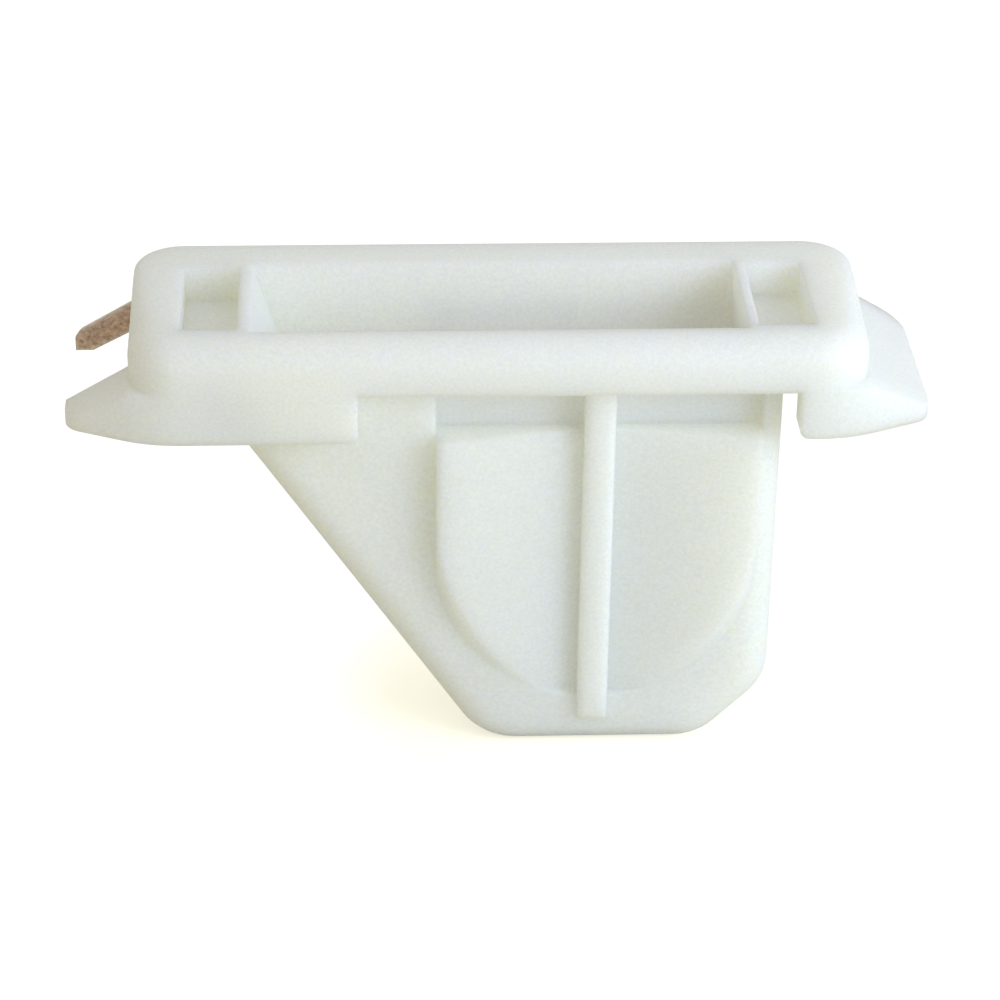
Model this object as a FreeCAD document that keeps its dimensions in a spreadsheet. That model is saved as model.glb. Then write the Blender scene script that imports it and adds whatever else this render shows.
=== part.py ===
import FreeCAD, Part
import os
import Sketcher

# Headlamp mounting grommet, one nylon moulding.
# Frame: X along the head, Y across it, Z up. The origin lies at the middle of the head, in the plane of
# the panel that the skirts press on. The leg hangs down through the panel's slot.

# Driving dimensions, in millimetres
SIZES = {
    # Head and flange
    "head_length": 35.6,
    "head_depth": 11.7,
    "head_height": 5.1,
    "head_corner": 2.4,
    "crown_front_round": 1.5,
    "crown_rear_round": 0.4,
    "crown_end_round": 1.4,
    "lip_reach": 3.15,
    "lip_rise": 2.55,
    "lip_edge_height": 0.7,
    "lip_rear_inset": 0.45,
    "lip_corner": 1.2,
    "bow_length": 4.15,
    "bow_depth": 1.85,
    "bow_round": 7.0,
    # Underside of the flange
    "skirt_thickness": 1.45,
    "deck_thickness": 2.6,
    "rim_width": 0.5,
    "end_wall": 2.4,
    "hollow_start": 0.2,
    "hollow_corner": 0.8,
    "skirt_left_end": 6.85,
    "skirt_gap": 0.5,
    "skirt_round": 0.5,
    "notch_front": 2.35,
    "finger_inset": 0.4,
    "finger_width": 0.8,
    # Leg
    "leg_length": 18.65,
    "leg_shoulder": 13.15,
    "leg_toe": 0.72,
    "leg_right": 13.85,
    "leg_embed": 0.3,
    "heel_cut_width": 3.4,
    "heel_cut_height": 3.45,
    "heel_round": 3.0,
    "toe_round": 3.4,
    "leg_edge_round": 1.5,
    # Snap wings and rib
    "wing_border": 1.05,
    "wing_half_width": 7.95,
    "wing_top": 0.35,
    "wing_foot_gap": 3.15,
    "wing_proud": 1.0,
    "wing_dip": 1.6,
    "wing_side_bevel": 0.1,
    "wing_foot_bevel": 2.25,
    "recess_depth": 1.0,
    "rib_width": 1.5,
    "rib_proud": 0.5,
    "rib_round": 0.3,
    "rib_foot_gap": 1.95,
    # Socket and pits
    "leg_wall": 1.2,
    "foot_wall": 1.75,
    "heel_wall": 2.0,
    "slope_wall": 1.5,
    "shoulder_wall": 1.15,
    "mouth_front_rim": 1.85,
    "mouth_rear_rim": 2.45,
    "funnel_depth": 4.1,
    "funnel_slope": 1.6,
    "socket_toe_round": 1.2,
    "socket_heel_round": 4.4,
    "divider": 0.55,
    "pit_length": 2.75,
    "pit_front": 3.6,
    "pit_rear": 3.1,
    "pit_floor": 0.8,
}

doc = FreeCAD.newDocument("headlamp_grommet")
sheet = doc.addObject("Spreadsheet::Sheet", "Sizes")
for row, (alias, size) in enumerate(SIZES.items(), start=1):
    sheet.set(f"A{row}", alias)
    sheet.set(f"B{row}", str(size))
    sheet.setAlias(f"B{row}", alias)
doc.recompute()

# Places that several features share, each worked out from the sheet
HALF_HEAD = "(Sizes.head_length / 2)"
HALF_DEPTH = "(Sizes.head_depth / 2)"
HALF_FLANGE = "(Sizes.head_length / 2 + Sizes.lip_reach)"
LIP_REAR = "(Sizes.head_depth / 2 - Sizes.lip_rear_inset)"
FINGER_REAR = f"({LIP_REAR} - Sizes.finger_inset)"
NOTCH_REAR = f"({FINGER_REAR} - Sizes.finger_width)"
DECK_UNDERSIDE = "(Sizes.head_height - Sizes.deck_thickness)"
LEG_TOP = f"({DECK_UNDERSIDE} + Sizes.leg_embed)"
LEG_DEPTH = "(Sizes.head_depth - 2 * Sizes.skirt_thickness)"
LEG_LEAN = "((Sizes.leg_shoulder - Sizes.leg_toe) / Sizes.leg_length)"
WING_CENTRE = "(Sizes.leg_right - Sizes.wing_border - Sizes.wing_half_width)"
WING_LENGTH = "(Sizes.leg_length - Sizes.wing_top - Sizes.wing_foot_gap)"
WING_REACH = f"({LEG_DEPTH} / 2 + Sizes.wing_proud)"
MOUTH_LEFT = "(Sizes.leg_shoulder - Sizes.shoulder_wall)"
MOUTH_RIGHT = "(Sizes.leg_right - Sizes.heel_wall)"
LEFT_PIT_NEAR = f"({MOUTH_LEFT} + Sizes.divider)"
RIGHT_PIT_NEAR = f"({MOUTH_RIGHT} + Sizes.divider)"


def value(expression):
    """The number that an expression on the sheet gives."""
    return float(sheet.evalExpression(expression))


def origin_plane(body, role):
    """The body's own origin plane of that role."""
    for feature in body.Origin.OriginFeatures:
        if feature.Role == role:
            return feature
    raise LookupError(role)


def new_sketch(body, name, role, offset="0"):
    """A sketch on an origin plane of the body, moved along the plane's normal by an expression."""
    sketch = body.newObject("Sketcher::SketchObject", name)
    sketch.AttachmentSupport = (origin_plane(body, role), "")
    sketch.MapMode = "FlatFace"
    sketch.setExpression("AttachmentOffset.Base.z", offset)
    return sketch


def bind(sketch, constraint, expression):
    """Add a driving dimension to the sketch and bind it to the sheet."""
    index = sketch.addConstraint(constraint)
    sketch.setExpression(f"Constraints[{index}]", expression)


def place(sketch, geometry, end, across, up):
    """Fix one point of the sketch at two expressions, measured from the sketch's origin."""
    bind(sketch, Sketcher.Constraint("DistanceX", -1, 1, geometry, end, value(across)), across)
    bind(sketch, Sketcher.Constraint("DistanceY", -1, 1, geometry, end, value(up)), up)


def draw_outline(sketch, corners):
    """Draw a closed outline through corners, each (across, up, radius), as lines and tangent arcs.

    All three are expressions, and a radius of None leaves the corner sharp. A round corner keeps its
    sharp point as a construction point, and the two lines are aimed at it.
    """
    points = [FreeCAD.Vector(value(across), value(up), 0) for across, up, radius in corners]
    starts, ends = [], []
    for index, (across, up, radius) in enumerate(corners):
        corner = points[index]
        before = (points[index - 1] - corner).normalize()
        after = (points[(index + 1) % len(points)] - corner).normalize()
        trim = 0.0
        if radius is not None:
            trim = value(radius) / tan_half(before, after)
        ends.append(corner + before * trim)
        starts.append(corner + after * trim)

    count = len(corners)
    lines = []
    for index in range(count):
        following = (index + 1) % count
        lines.append(sketch.addGeometry(Part.LineSegment(starts[index], ends[following]), False))

    for index, (across, up, radius) in enumerate(corners):
        arriving, leaving = lines[index - 1], lines[index]
        if radius is None:
            sketch.addConstraint(Sketcher.Constraint("Coincident", arriving, 2, leaving, 1))
            place(sketch, leaving, 1, across, up)
            continue
        draw_corner(sketch, arriving, leaving, points[index], (ends[index], starts[index]), corners[index])


def tan_half(before, after):
    """Tangent of half the angle between two directions."""
    sine = before.cross(after).Length
    return sine / (1.0 + before.dot(after))


def draw_corner(sketch, arriving, leaving, corner, touches, expressions):
    """Round one corner of an outline with an arc that touches both lines."""
    across, up, radius = expressions
    size = value(radius)
    touch_in, touch_out = touches
    middle = (touch_in + touch_out) * 0.5
    towards = (middle - corner).normalize()
    centre = corner + towards * ((corner - touch_in).Length ** 2 + size ** 2) ** 0.5
    crown = centre - towards * size
    arc = sketch.addGeometry(Part.Arc(touch_in, crown, touch_out), False)
    turns_left = (crown - touch_in).cross(touch_out - crown).z > 0
    first, last = (1, 2) if turns_left else (2, 1)
    sketch.addConstraint(Sketcher.Constraint("Tangent", arriving, 2, arc, first))
    sketch.addConstraint(Sketcher.Constraint("Tangent", arc, last, leaving, 1))
    bind(sketch, Sketcher.Constraint("Radius", arc, size), radius)
    mark = sketch.addGeometry(Part.Point(corner), True)
    place(sketch, mark, 1, across, up)
    sketch.addConstraint(Sketcher.Constraint("PointOnObject", mark, 1, arriving))
    sketch.addConstraint(Sketcher.Constraint("PointOnObject", mark, 1, leaving))


def rectangle(left, right, low, high, radius=None):
    """Corners of a rectangle, each side an expression, in anticlockwise order."""
    return [(left, low, radius), (right, low, radius), (right, high, radius), (left, high, radius)]


def bowed(end, front, rear, radii):
    """Corners of a rectangle whose front falls back towards both ends, in anticlockwise order.

    The radii are those of the bend in the front, the front corner and the rear corner.
    """
    bend, front_corner, rear_corner = radii
    start = f"{end} - Sizes.bow_length"
    back = f"-({front}) + Sizes.bow_depth"
    return [
        (f"-({start})", f"-({front})", bend),
        (start, f"-({front})", bend),
        (end, back, front_corner),
        (end, rear, rear_corner),
        (f"-({end})", rear, rear_corner),
        (f"-({end})", back, front_corner),
    ]


def pad(body, sketch, name, length, symmetric=False, reverse=False):
    """Pad a sketch by an expression."""
    feature = body.newObject("PartDesign::Pad", name)
    feature.Profile = sketch
    feature.setExpression("Length", length)
    feature.SideType = "Symmetric" if symmetric else "One side"
    feature.Reversed = reverse
    return feature


def pocket(body, sketch, name, length, symmetric=False, reverse=False):
    """Cut a sketch out of the body by an expression, and make sure that it cut something."""
    doc.recompute()
    before = body.Shape.Volume
    feature = body.newObject("PartDesign::Pocket", name)
    feature.Profile = sketch
    feature.setExpression("Length", length)
    feature.SideType = "Symmetric" if symmetric else "One side"
    feature.Reversed = reverse
    doc.recompute()
    if feature.Shape.Volume >= before:
        raise RuntimeError(f"{name} cuts nothing")
    return feature


def loft(body, name, start, end):
    """A ruled loft from one sketch to another."""
    feature = body.newObject("PartDesign::AdditiveLoft", name)
    feature.Profile = start
    feature.Sections = [end]
    feature.Ruled = True
    return feature


def round_edges(body, base, name, radius, chosen):
    """Fillet the edges of a feature that a test picks."""
    doc.recompute()
    edges = [f"Edge{n}" for n, edge in enumerate(base.Shape.Edges, start=1) if chosen(edge)]
    if not edges:
        raise RuntimeError(f"{name} finds no edge")
    feature = body.newObject("PartDesign::Fillet", name)
    feature.Base = (base, edges)
    feature.setExpression("Radius", radius)
    return feature


def lies_at(edge, axis, level):
    """Whether every end of an edge lies at one level of an axis."""
    return all(abs(getattr(vertex.Point, axis) - level) < 1e-4 for vertex in edge.Vertexes)


def cut_slope(body, name, top, foot, above):
    """Cut away, right across the body, what lies above a slope between two points, each (across, up)."""
    slope = new_sketch(body, name, "XZ_Plane")
    draw_outline(slope, [(*top, None), (*foot, None), (foot[0], above, None), (top[0], above, None)])
    pocket(body, slope, f"{name}_cut", "Sizes.head_depth * 2", symmetric=True)


def build_head():
    """The rimmed head on its flange, with sloping lips, skirts and a notched left lip, not yet hollow."""
    body = doc.addObject("PartDesign::Body", "head")
    flange = new_sketch(body, "flange_outline", "XY_Plane")
    rounds = ("Sizes.bow_round", "Sizes.lip_corner", "Sizes.lip_corner")
    draw_outline(flange, bowed(HALF_FLANGE, HALF_DEPTH, LIP_REAR, rounds))
    pad(body, flange, "flange_block", "Sizes.lip_rise")

    # The lips fall away from the foot of the head to a thin edge
    fall = "(Sizes.lip_rise - Sizes.lip_edge_height) / Sizes.lip_reach"
    beyond = f"({HALF_FLANGE} + Sizes.lip_edge_height)"
    low = f"Sizes.lip_edge_height - {fall} * Sizes.lip_edge_height"
    high = "Sizes.lip_rise + Sizes.lip_edge_height"
    for name, sign in (("left_lip_slope", "-"), ("right_lip_slope", "")):
        cut_slope(body, name, (f"{sign}{HALF_HEAD}", "Sizes.lip_rise"), (f"{sign}{beyond}", low), high)

    crown = new_sketch(body, "head_outline", "XY_Plane")
    head_sides = (f"-{HALF_HEAD}", HALF_HEAD, f"-{HALF_DEPTH}", HALF_DEPTH)
    draw_outline(crown, rectangle(*head_sides, "Sizes.head_corner"))
    pad(body, crown, "head_block", "Sizes.head_height")

    # Both skirts stop short of the wings, so that the wings stand free below the deck
    window = new_sketch(body, "skirt_window", "XZ_Plane")
    window_right = "Sizes.leg_right + Sizes.skirt_gap"
    window_sides = ("-Sizes.skirt_left_end", window_right, "-Sizes.lip_edge_height", DECK_UNDERSIDE)
    draw_outline(window, rectangle(*window_sides))
    cut = pocket(body, window, "skirt_window_cut", "Sizes.head_depth * 2", symmetric=True)
    left_end = -value("Sizes.skirt_left_end")
    right_end = value(window_right)

    def skirt_corner(edge):
        at_end = lies_at(edge, "x", left_end) or lies_at(edge, "x", right_end)
        return at_end and lies_at(edge, "z", 0)

    round_edges(body, cut, "skirt_corners", "Sizes.skirt_round", skirt_corner)

    # A notch parts the left lip into a broad front finger and a thin rear one
    beside = f"-{HALF_FLANGE} - Sizes.rim_width"
    for name, near, far in (
        ("lip_notch", "-Sizes.notch_front", NOTCH_REAR),
        ("finger_back", FINGER_REAR, f"{HALF_DEPTH} + Sizes.rim_width"),
    ):
        outline = new_sketch(body, name, "XY_Plane")
        draw_outline(outline, rectangle(beside, f"-{HALF_HEAD}", near, far))
        pocket(body, outline, f"{name}_cut", "Sizes.head_height", reverse=True)
    return body


def round_crown(body):
    """Round the top edge of the head: fully along the front, finely along the rear, and ends in between."""
    doc.recompute()
    top = value("Sizes.head_height")
    side = value(HALF_DEPTH)

    def radius_at(point):
        if abs(point.y + side) < 1e-4:
            return value("Sizes.crown_front_round")
        if point.y > 0:
            return value("Sizes.crown_rear_round")
        return value("Sizes.crown_end_round")

    edges = []
    for number, edge in enumerate(body.Shape.Edges, start=1):
        if lies_at(edge, "z", top):
            start = edge.valueAt(edge.FirstParameter)
            end = edge.valueAt(edge.LastParameter)
            edges.append((number, radius_at(start), radius_at(end)))
    feature = doc.addObject("Part::Fillet", "crowned_head")
    feature.Base = body
    feature.Edges = edges
    return feature


def build_hollow():
    """The space below the head, which leaves a thin lip at each end and a skirt along each side."""
    body = doc.addObject("PartDesign::Body", "hollow")
    mouth = f"({HALF_FLANGE} - Sizes.rim_width)"
    roof = f"({HALF_HEAD} - Sizes.end_wall)"
    side = f"{LEG_DEPTH} / 2"
    plan = new_sketch(body, "hollow_outline", "XY_Plane", "-Sizes.hollow_start")
    draw_outline(plan, bowed(mouth, side, side, ["Sizes.hollow_corner"] * 3))
    depth = f"{DECK_UNDERSIDE} + Sizes.hollow_start"
    pad(body, plan, "hollow_block", depth)

    # The space reaches right under the thin rear finger of the left lip
    below = new_sketch(body, "finger_clearance", "XY_Plane", "-Sizes.hollow_start")
    before = f"{NOTCH_REAR} - Sizes.finger_width"
    behind = f"{HALF_DEPTH} + Sizes.rim_width"
    draw_outline(below, rectangle(f"-{mouth}", f"-{HALF_HEAD}", before, behind))
    pad(body, below, "finger_clearance_block", depth)

    # Its ends slope with the lips
    fall = f"({DECK_UNDERSIDE} + Sizes.hollow_start) / ({mouth} - {roof})"
    beyond = f"({mouth} + Sizes.rim_width)"
    low = f"-Sizes.hollow_start - {fall} * Sizes.rim_width"
    high = f"{DECK_UNDERSIDE} + Sizes.rim_width"
    for name, sign in (("left_hollow_slope", "-"), ("right_hollow_slope", "")):
        cut_slope(body, name, (f"{sign}{roof}", DECK_UNDERSIDE), (f"{sign}{beyond}", low), high)
    return body


def build_leg():
    """The wedge-shaped leg with its recessed sides and ribs, still solid inside."""
    body = doc.addObject("PartDesign::Body", "leg")
    outline = new_sketch(body, "leg_outline", "XZ_Plane")
    draw_outline(outline, [
        ("-Sizes.leg_toe", "-Sizes.leg_length", "Sizes.toe_round"),
        ("Sizes.leg_right - Sizes.heel_cut_width", "-Sizes.leg_length", "Sizes.heel_round"),
        ("Sizes.leg_right", "Sizes.heel_cut_height - Sizes.leg_length", "Sizes.heel_round"),
        ("Sizes.leg_right", LEG_TOP, None),
        (f"-Sizes.leg_shoulder - {LEG_LEAN} * {LEG_TOP}", LEG_TOP, None),
    ])
    blank = pad(body, outline, "leg_blank", LEG_DEPTH, symmetric=True)
    face = value(f"{LEG_DEPTH} / 2")
    lid = value(LEG_TOP)

    def on_rim(edge):
        on_side = lies_at(edge, "y", face) or lies_at(edge, "y", -face)
        return on_side and not lies_at(edge, "z", lid)

    round_edges(body, blank, "leg_edges", "Sizes.leg_edge_round", on_rim)

    # Each broad side is sunk behind the wings and up to the head
    recess = new_sketch(body, "side_recess", "XZ_Plane", f"{LEG_DEPTH} / 2 - Sizes.recess_depth")
    draw_wing_outline(recess, "Sizes.wing_half_width", WING_LENGTH, LEG_TOP)
    cut = pocket(body, recess, "side_recess_cut", LEG_DEPTH, reverse=True)
    mirrored = body.newObject("PartDesign::Mirrored", "side_recess_pair")
    mirrored.Originals = [cut]
    mirrored.MirrorPlane = (origin_plane(body, "XZ_Plane"), [""])
    body.Tip = mirrored

    rib = new_sketch(body, "rib_outline", "XZ_Plane")
    rib_sides = (
        f"{WING_CENTRE} - Sizes.rib_width / 2",
        f"{WING_CENTRE} + Sizes.rib_width / 2",
        "Sizes.rib_foot_gap - Sizes.leg_length",
        LEG_TOP,
    )
    draw_outline(rib, rectangle(*rib_sides))
    ridge = pad(body, rib, "rib", f"{LEG_DEPTH} + 2 * Sizes.rib_proud", symmetric=True)
    reach = value(f"{LEG_DEPTH} / 2 + Sizes.rib_proud")

    def on_ridge(edge):
        on_side = lies_at(edge, "y", reach) or lies_at(edge, "y", -reach)
        return on_side and not lies_at(edge, "z", lid)

    round_edges(body, ridge, "rib_edges", "Sizes.rib_round", on_ridge)
    return body


def draw_wing_outline(sketch, half_width, length, top):
    """Draw the outline of a pair of wings: straight at the top and sides, half round at the foot."""
    left = f"{WING_CENTRE} - ({half_width})"
    right = f"{WING_CENTRE} + ({half_width})"
    spring = f"({half_width}) - Sizes.wing_top - ({length})"
    corners = [
        FreeCAD.Vector(value(right), value(top), 0),
        FreeCAD.Vector(value(left), value(top), 0),
        FreeCAD.Vector(value(left), value(spring), 0),
        FreeCAD.Vector(value(right), value(spring), 0),
    ]
    foot = FreeCAD.Vector(value(WING_CENTRE), value(spring) - value(half_width), 0)
    lid = sketch.addGeometry(Part.LineSegment(corners[0], corners[1]), False)
    left_side = sketch.addGeometry(Part.LineSegment(corners[1], corners[2]), False)
    round_foot = sketch.addGeometry(Part.Arc(corners[2], foot, corners[3]), False)
    right_side = sketch.addGeometry(Part.LineSegment(corners[3], corners[0]), False)
    sketch.addConstraint(Sketcher.Constraint("Coincident", lid, 2, left_side, 1))
    sketch.addConstraint(Sketcher.Constraint("Coincident", left_side, 2, round_foot, 1))
    sketch.addConstraint(Sketcher.Constraint("Coincident", round_foot, 2, right_side, 1))
    sketch.addConstraint(Sketcher.Constraint("Coincident", right_side, 2, lid, 1))
    place(sketch, lid, 1, right, top)
    place(sketch, lid, 2, left, top)
    place(sketch, round_foot, 1, left, spring)
    place(sketch, round_foot, 2, right, spring)
    bind(sketch, Sketcher.Constraint("DistanceY", -1, 1, round_foot, 3, value(spring)), spring)


def build_wings():
    """The front pair of wings: a shallow V in plan that fills the recess, with a half-round bevelled rim."""
    plan = doc.addObject("PartDesign::Body", "wing_plan")
    left = f"{WING_CENTRE} - Sizes.wing_half_width"
    right = f"{WING_CENTRE} + Sizes.wing_half_width"
    root = f"-{LEG_DEPTH} / 2 + Sizes.recess_depth + Sizes.leg_embed"
    profile = new_sketch(plan, "wing_profile", "XY_Plane", "-Sizes.wing_top")
    draw_outline(profile, [
        (left, f"-{WING_REACH}", None),
        (WING_CENTRE, f"-{WING_REACH} + Sizes.wing_dip", None),
        (right, f"-{WING_REACH}", None),
        (right, root, None),
        (left, root, None),
    ])
    pad(plan, profile, "wing_blank", WING_LENGTH, reverse=True)

    # The rim is upright inside the recess and bevelled where it stands proud of the leg
    trim = doc.addObject("PartDesign::Body", "wing_trim")
    face = f"{LEG_DEPTH} / 2"
    seat = new_sketch(trim, "wing_seat_outline", "XZ_Plane", face)
    draw_wing_outline(seat, "Sizes.wing_half_width", WING_LENGTH, "-Sizes.wing_top")
    pad(trim, seat, "wing_seat", face, reverse=True)
    outer = new_sketch(trim, "wing_outer_outline", "XZ_Plane", WING_REACH)
    outer_half = "Sizes.wing_half_width - Sizes.wing_side_bevel"
    draw_wing_outline(outer, outer_half, f"{WING_LENGTH} - Sizes.wing_foot_bevel", "-Sizes.wing_top")
    loft(trim, "wing_bevel", seat, outer)

    wings = doc.addObject("Part::Common", "front_wings")
    wings.Base = plan
    wings.Tool = trim
    mirrored = doc.addObject("Part::Mirroring", "rear_wings")
    mirrored.Source = wings
    mirrored.Normal = FreeCAD.Vector(0, 1, 0)
    return wings, mirrored


def build_socket():
    """The hollow that takes the lamp's tongue: a funnel in the head and a slot down the leg."""
    body = doc.addObject("PartDesign::Body", "socket")
    slot_width = f"({LEG_DEPTH} - 2 * (Sizes.recess_depth + Sizes.leg_wall))"
    throat_left = f"-{MOUTH_LEFT} + Sizes.funnel_slope"
    throat_level = "Sizes.head_height - Sizes.funnel_depth"

    mouth = new_sketch(body, "socket_mouth", "XY_Plane", "Sizes.head_height")
    mouth_front = f"-{HALF_DEPTH} + Sizes.mouth_front_rim"
    mouth_rear = f"{HALF_DEPTH} - Sizes.mouth_rear_rim"
    draw_outline(mouth, rectangle(f"-{MOUTH_LEFT}", MOUTH_RIGHT, mouth_front, mouth_rear))
    throat = new_sketch(body, "socket_throat", "XY_Plane", throat_level)
    throat_half = f"{slot_width} / 2"
    draw_outline(throat, rectangle(throat_left, MOUTH_RIGHT, f"-{throat_half}", throat_half))
    loft(body, "funnel", mouth, throat)

    slot = new_sketch(body, "slot_outline", "XZ_Plane")
    floor = "-Sizes.leg_length + Sizes.foot_wall"
    slot_toe = f"-Sizes.leg_toe - {LEG_LEAN} * Sizes.foot_wall + Sizes.slope_wall"
    draw_outline(slot, [
        (slot_toe, floor, "Sizes.socket_toe_round"),
        (MOUTH_RIGHT, floor, "Sizes.socket_heel_round"),
        (MOUTH_RIGHT, throat_level, None),
        (throat_left, throat_level, None),
    ])
    pad(body, slot, "slot", slot_width, symmetric=True)
    return body


def build_pit(name, left, right):
    """A shallow pit sunk from the top of the head, which leaves a thin floor in the deck."""
    body = doc.addObject("PartDesign::Body", name)
    sketch = new_sketch(body, f"{name}_outline", "XY_Plane", "Sizes.head_height")
    draw_outline(sketch, rectangle(left, right, "-Sizes.pit_front", "Sizes.pit_rear"))
    pad(body, sketch, f"{name}_depth", "Sizes.deck_thickness - Sizes.pit_floor", reverse=True)
    return body


head = round_crown(build_head())
hollow = build_hollow()
leg = build_leg()
front_wings, rear_wings = build_wings()
socket = build_socket()
left_pit = build_pit("left_pit", f"-{LEFT_PIT_NEAR} - Sizes.pit_length", f"-{LEFT_PIT_NEAR}")
right_pit = build_pit("right_pit", RIGHT_PIT_NEAR, f"{RIGHT_PIT_NEAR} + Sizes.pit_length")

shell = doc.addObject("Part::Cut", "shell")
shell.Base = head
shell.Tool = hollow
outside = doc.addObject("Part::MultiFuse", "outside")
outside.Shapes = [shell, leg, front_wings, rear_wings]
outside.Refine = True
hollows = doc.addObject("Part::MultiFuse", "hollows")
hollows.Shapes = [socket, left_pit, right_pit]
grommet = doc.addObject("Part::Cut", "grommet_body")
grommet.Base = outside
grommet.Tool = hollows
grommet.Refine = True
grommet.Label = "grommet_body"
doc.recompute()

for thing in doc.Objects:
    if "Invalid" in thing.State or "Error" in thing.State:
        raise RuntimeError(f"{thing.Name} failed: {thing.State}")
    if thing.isDerivedFrom("Sketcher::SketchObject") and not thing.FullyConstrained:
        raise RuntimeError(f"{thing.Name} is not fully constrained")

shape = grommet.Shape
if shape.isNull() or not shape.isValid() or len(shape.Solids) != 1:
    raise RuntimeError("grommet_body is not one valid solid")

os.makedirs("parts", exist_ok=True)
shape.exportStep(os.path.join("parts", f"{grommet.Label}.step"))
print("grommet_body", shape.BoundBox, "volume", round(shape.Volume, 2))
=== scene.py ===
import math

import bpy
from mathutils import Matrix, Vector


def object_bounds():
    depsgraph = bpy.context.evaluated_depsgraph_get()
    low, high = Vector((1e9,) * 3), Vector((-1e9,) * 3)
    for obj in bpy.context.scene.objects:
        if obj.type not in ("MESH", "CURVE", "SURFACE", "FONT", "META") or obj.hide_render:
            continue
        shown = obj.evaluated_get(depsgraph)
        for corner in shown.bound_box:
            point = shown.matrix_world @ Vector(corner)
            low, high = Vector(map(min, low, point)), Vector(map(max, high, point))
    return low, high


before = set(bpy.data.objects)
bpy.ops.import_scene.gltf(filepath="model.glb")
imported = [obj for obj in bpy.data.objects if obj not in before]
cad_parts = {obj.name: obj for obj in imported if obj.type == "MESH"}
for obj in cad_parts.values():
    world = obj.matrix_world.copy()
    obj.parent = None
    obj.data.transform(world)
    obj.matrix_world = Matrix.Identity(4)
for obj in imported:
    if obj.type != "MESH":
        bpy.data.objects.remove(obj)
CAD_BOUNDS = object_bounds()

MM = 0.001
WHITE = (1.0, 1.0, 1.0, 1.0)

# Camera at the photograph's viewing angle, for a square image
AZIMUTH = math.radians(-3.0)
ELEVATION = math.radians(30.0)
ROLL = math.radians(0.83)
SENSOR_MM = 36.0
LENS_MM = 116.5
CAMERA_AT = Vector((-7.12, -141.22, 75.09)) * MM
CLIP_START = 0.01

# Nylon: faint clouds in the resin and a finer mottle on its surface
NOISE_SPAN = (0.3, 0.7)
CLOUD_SCALE = 260.0
CLOUD_COLOURS = ((0.935, 0.941, 0.876, 1.0), (0.960, 0.966, 0.908, 1.0))
MOTTLE_SCALE = 6500.0
MOTTLE_COLOURS = ((0.909, 0.909, 0.896, 1.0), WHITE)

# Painted shade: a blotchy brown patch on the rear finger of the notched lip, standing in for
# the deep shade there
SHADE_PATCH_BEHIND = (3.6 * MM, 4.05 * MM)
SHADE_PATCH_OUTSIDE = (17.8 * MM, 17.95 * MM)
SHADE_BLOTCH_SCALE = 3600.0
PAINTED_SHADE_COLOURS = ((0.12, 0.072, 0.076, 1.0), (0.50, 0.343, 0.333, 1.0))

# Satin finish with softened edges and a fine mould texture
FINISH_SCALE = 900.0
FINISH_ROUGHNESS = (0.38, 0.56)
EDGE_RADIUS = 0.35 * MM
EDGE_SAMPLES = 4
GRAIN_SCALE = 5200.0
GRAIN_STRENGTH = 0.12
GRAIN_HEIGHT = 0.03 * MM

# Translucency: how far red, green and blue light spread in the nylon
NYLON_IOR = 1.53
SCATTER_RADIUS = (1.0, 0.9, 0.6)
SCATTER_SCALE = 4.5 * MM

# The grommet stands on the end of its leg, and its shadow fades out around the foot
FLOOR_Z = CAD_BOUNDS[0].z
FLOOR_SIZE = 4.0
FLOOR_COLOUR = (0.80, 0.77, 0.63, 1.0)
FLOOR_LIFT = (0.578, 0.565, 0.533, 1.0)
FLOOR_PLAIN = 1.1
FOOT_AT = (5.0 * MM, 0.0, FLOOR_Z)
SHADOW_REACH = (9.5 * MM, 16.5 * MM)

# Light: a dome, dim and warm on the left and bright and cool on the right, and a cool key lamp
DOME_COLOURS = ((0.50, 0.475, 0.39, 1.0), (0.74, 0.77, 0.81, 1.0))
KEY_AT = Vector((96, -77, 50)) * MM
KEY_SIZE = 80 * MM
KEY_WATTS = 0.096
KEY_COLOUR = (0.73, 0.85, 1.0)


def add_node(tree, kind, **settings):
    """A new node with the given properties set."""
    node = tree.nodes.new(kind)
    for name, setting in settings.items():
        setattr(node, name, setting)
    return node


def multiply(tree, first, second):
    """A socket times another socket or a number."""
    node = add_node(tree, "ShaderNodeMath", operation="MULTIPLY")
    tree.links.new(first, node.inputs[0])
    if isinstance(second, float):
        node.inputs[1].default_value = second
    else:
        tree.links.new(second, node.inputs[1])
    return node.outputs[0]


def noise(tree, place, scale, detail=2.0, roughness=0.5):
    """A noise texture over the object's own coordinates, which are in metres."""
    node = add_node(tree, "ShaderNodeTexNoise")
    node.inputs["Scale"].default_value = scale
    node.inputs["Detail"].default_value = detail
    node.inputs["Roughness"].default_value = roughness
    tree.links.new(place, node.inputs["Vector"])
    return node.outputs["Fac"]


def ramp(tree, source, span, colours):
    """A colour that goes from the first to the second as the source goes over the span."""
    node = add_node(tree, "ShaderNodeValToRGB")
    for element, position, colour in zip(node.color_ramp.elements, span, colours):
        element.position = position
        element.color = colour
    tree.links.new(source, node.inputs["Fac"])
    return node.outputs["Color"]


def map_range(tree, source, span, result=(0.0, 1.0), kind="LINEAR"):
    """The result's first to second number as the source goes over the span."""
    node = add_node(tree, "ShaderNodeMapRange", interpolation_type=kind)
    tree.links.new(source, node.inputs["Value"])
    for name, number in zip(("From Min", "From Max", "To Min", "To Max"), span + result):
        node.inputs[name].default_value = number
    return node.outputs["Result"]


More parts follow.
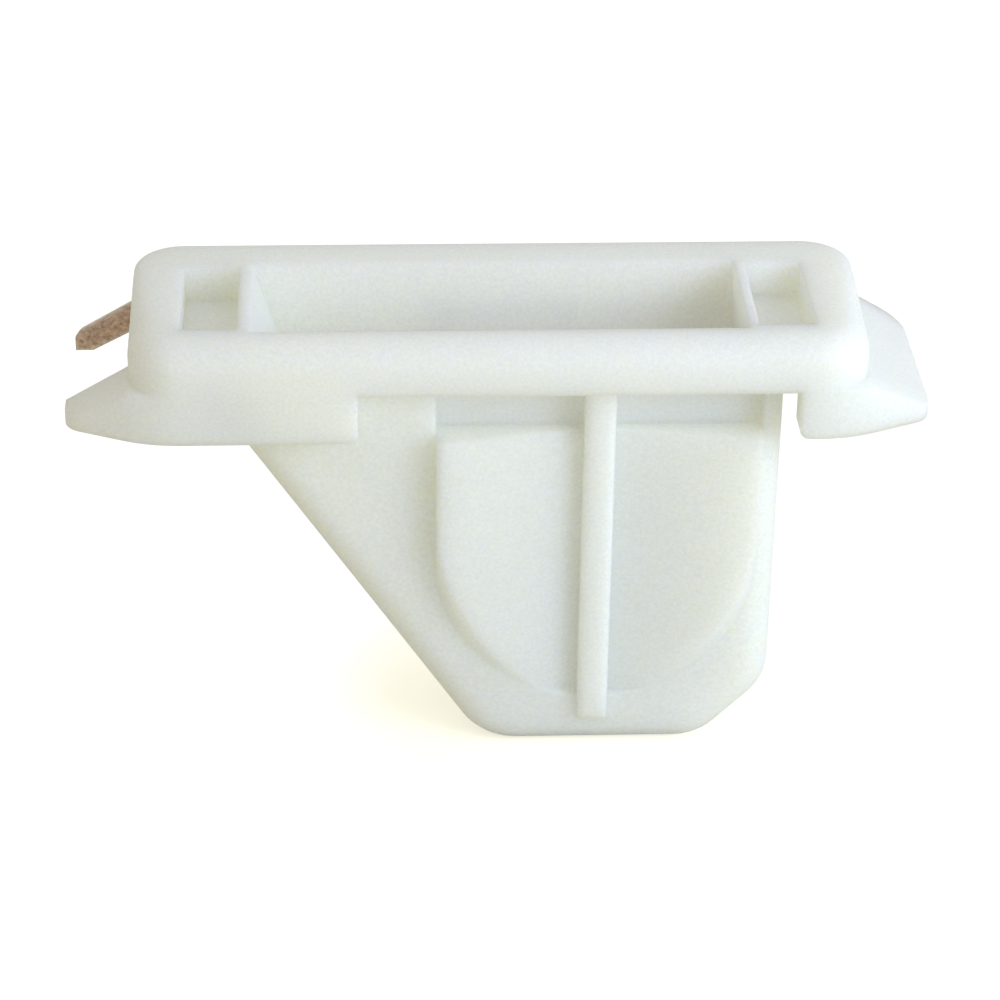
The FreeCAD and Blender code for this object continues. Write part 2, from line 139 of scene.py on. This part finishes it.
def mix_colours(tree, factor, first, second, blend_type="MIX"):
    """Two colour sockets mixed by a factor, which is a socket or a number."""
    node = add_node(tree, "ShaderNodeMix", data_type="RGBA", blend_type=blend_type)
    if isinstance(factor, float):
        node.inputs["Factor"].default_value = factor
    else:
        tree.links.new(factor, node.inputs["Factor"])
    sockets = [socket for socket in node.inputs if socket.type == "RGBA"]
    tree.links.new(first, sockets[0])
    tree.links.new(second, sockets[1])
    return [socket for socket in node.outputs if socket.type == "RGBA"][0]


def mix_shaders(tree, factor, first, second):
    """Two shader sockets mixed by a factor socket."""
    node = add_node(tree, "ShaderNodeMixShader")
    tree.links.new(factor, node.inputs["Fac"])
    tree.links.new(first, node.inputs[1])
    tree.links.new(second, node.inputs[2])
    return node.outputs["Shader"]


def new_material(name):
    """An empty material, with its node tree and the socket for its surface."""
    material = bpy.data.materials.new(name)
    material.use_nodes = True
    tree = material.node_tree
    tree.nodes.clear()
    output = add_node(tree, "ShaderNodeOutputMaterial")
    return material, tree, output.inputs["Surface"]


def nylon_colour(tree, place):
    """The colour of the mottled resin, with painted shade: a brown patch on the rear finger of
    one lip.
    """
    clouds = noise(tree, place, CLOUD_SCALE, detail=3.0)
    mottle = noise(tree, place, MOTTLE_SCALE)
    resin = mix_colours(
        tree, 1.0,
        ramp(tree, clouds, NOISE_SPAN, CLOUD_COLOURS),
        ramp(tree, mottle, NOISE_SPAN, MOTTLE_COLOURS),
        blend_type="MULTIPLY",
    )

    # Painted shade: blotchy brown colour over the rear finger of the notched lip, where that
    # finger lies in deep shade
    axes = add_node(tree, "ShaderNodeSeparateXYZ")
    tree.links.new(place, axes.inputs["Vector"])
    leftward = multiply(tree, axes.outputs["X"], -1.0)
    behind = map_range(tree, axes.outputs["Y"], SHADE_PATCH_BEHIND, kind="SMOOTHSTEP")
    outside = map_range(tree, leftward, SHADE_PATCH_OUTSIDE, kind="SMOOTHSTEP")
    shade_blotches = noise(tree, place, SHADE_BLOTCH_SCALE, detail=4.0, roughness=0.7)
    painted_shade = ramp(tree, shade_blotches, NOISE_SPAN, PAINTED_SHADE_COLOURS)
    return mix_colours(tree, multiply(tree, behind, outside), resin, painted_shade)


def nylon_normal(tree, place):
    """Softened edges and a fine mould texture."""
    edge = add_node(tree, "ShaderNodeBevel", samples=EDGE_SAMPLES)
    edge.inputs["Radius"].default_value = EDGE_RADIUS
    grain = add_node(tree, "ShaderNodeBump")
    grain.inputs["Strength"].default_value = GRAIN_STRENGTH
    grain.inputs["Distance"].default_value = GRAIN_HEIGHT
    tree.links.new(noise(tree, place, GRAIN_SCALE, detail=3.0), grain.inputs["Height"])
    tree.links.new(edge.outputs["Normal"], grain.inputs["Normal"])
    return grain.outputs["Normal"]


def nylon_material():
    """Natural white nylon: translucent, satin and finely mottled, with a painted brown shade
    patch on one lip.
    """
    material, tree, surface = new_material("natural_nylon")
    shader = add_node(tree, "ShaderNodeBsdfPrincipled")
    tree.links.new(shader.outputs["BSDF"], surface)
    place = add_node(tree, "ShaderNodeTexCoord").outputs["Object"]
    finish = noise(tree, place, FINISH_SCALE, detail=3.0)
    roughness = map_range(tree, finish, (0.0, 1.0), FINISH_ROUGHNESS)
    tree.links.new(nylon_colour(tree, place), shader.inputs["Base Color"])
    tree.links.new(roughness, shader.inputs["Roughness"])
    tree.links.new(nylon_normal(tree, place), shader.inputs["Normal"])
    shader.inputs["IOR"].default_value = NYLON_IOR
    shader.inputs["Subsurface Weight"].default_value = 1.0
    shader.inputs["Subsurface Radius"].default_value = SCATTER_RADIUS
    shader.inputs["Subsurface Scale"].default_value = SCATTER_SCALE
    return material


def floor_material():
    """A floor that the camera sees as plain white, apart from the faint shadow by the foot."""
    material, tree, surface = new_material("floor_white")
    camera_ray = add_node(tree, "ShaderNodeLightPath").outputs["Is Camera Ray"]
    matte = add_node(tree, "ShaderNodeBsdfDiffuse")
    matte.inputs["Color"].default_value = FLOOR_COLOUR
    lift = add_node(tree, "ShaderNodeEmission")
    lift.inputs["Color"].default_value = FLOOR_LIFT
    tree.links.new(camera_ray, lift.inputs["Strength"])
    shaded = add_node(tree, "ShaderNodeAddShader")
    tree.links.new(matte.outputs["BSDF"], shaded.inputs[0])
    tree.links.new(lift.outputs["Emission"], shaded.inputs[1])

    plain = add_node(tree, "ShaderNodeEmission")
    plain.inputs["Color"].default_value = WHITE
    plain.inputs["Strength"].default_value = FLOOR_PLAIN
    place = add_node(tree, "ShaderNodeTexCoord").outputs["Object"]
    distance = add_node(tree, "ShaderNodeVectorMath", operation="DISTANCE")
    tree.links.new(place, distance.inputs[0])
    distance.inputs[1].default_value = FOOT_AT
    far = map_range(tree, distance.outputs["Value"], SHADOW_REACH, kind="SMOOTHSTEP")
    seen = mix_shaders(
        tree, multiply(tree, camera_ray, far),
        shaded.outputs["Shader"], plain.outputs["Emission"],
    )
    tree.links.new(seen, surface)
    return material


def make_floor():
    """A plain white floor under the foot."""
    half = FLOOR_SIZE / 2
    plan = ((-half, -half), (half, -half), (half, half), (-half, half))
    mesh = bpy.data.meshes.new("floor")
    mesh.from_pydata([(x, y, FLOOR_Z) for x, y in plan], [], [(0, 1, 2, 3)])
    floor = bpy.data.objects.new("floor", mesh)
    bpy.context.scene.collection.objects.link(floor)
    floor.data.materials.append(floor_material())


def make_world():
    """A soft studio dome that changes from left to right, and that the camera sees as white."""
    world = bpy.data.worlds.new("studio")
    world.use_nodes = True
    bpy.context.scene.world = world
    tree = world.node_tree
    tree.nodes.clear()
    output = add_node(tree, "ShaderNodeOutputWorld")
    heading = add_node(tree, "ShaderNodeSeparateXYZ")
    direction = add_node(tree, "ShaderNodeTexCoord").outputs["Generated"]
    tree.links.new(direction, heading.inputs["Vector"])
    level = map_range(tree, heading.outputs["X"], (-1.0, 1.0))
    dome = add_node(tree, "ShaderNodeBackground")
    tree.links.new(ramp(tree, level, (0.0, 1.0), DOME_COLOURS), dome.inputs["Color"])
    backdrop = add_node(tree, "ShaderNodeBackground")
    backdrop.inputs["Color"].default_value = WHITE
    seen = mix_shaders(
        tree, add_node(tree, "ShaderNodeLightPath").outputs["Is Camera Ray"],
        dome.outputs["Background"], backdrop.outputs["Background"],
    )
    tree.links.new(seen, output.inputs["Surface"])


def make_key():
    """The key lamp, a disc that looks at the origin."""
    lamp = bpy.data.lights.new("key", "AREA")
    lamp.shape = "DISK"
    lamp.size = KEY_SIZE
    lamp.energy = KEY_WATTS
    lamp.color = KEY_COLOUR
    holder = bpy.data.objects.new("key", lamp)
    bpy.context.scene.collection.objects.link(holder)
    holder.location = KEY_AT
    holder.rotation_mode = "QUATERNION"
    holder.rotation_quaternion = KEY_AT.to_track_quat("Z", "Y")


def make_camera():
    """The camera, from its place, its angles and its roll."""
    back = Vector((
        math.sin(AZIMUTH) * math.cos(ELEVATION),
        -math.cos(AZIMUTH) * math.cos(ELEVATION),
        math.sin(ELEVATION),
    ))
    level = Vector((0, 0, 1)).cross(back).normalized()
    upright = back.cross(level)
    right = level * math.cos(ROLL) + upright * math.sin(ROLL)
    up = back.cross(right)
    turn = Matrix((right, up, back)).transposed()
    data = bpy.data.cameras.new("camera")
    data.sensor_width = SENSOR_MM
    data.lens = LENS_MM
    data.clip_start = CLIP_START
    camera = bpy.data.objects.new("camera", data)
    bpy.context.scene.collection.objects.link(camera)
    camera.matrix_world = Matrix.Translation(CAMERA_AT) @ turn.to_4x4()
    bpy.context.scene.camera = camera


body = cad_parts["grommet_body"]
body.data.materials.clear()
body.data.materials.append(nylon_material())

make_floor()
make_world()
make_key()
make_camera()
bpy.context.scene.view_settings.view_transform = "Standard"
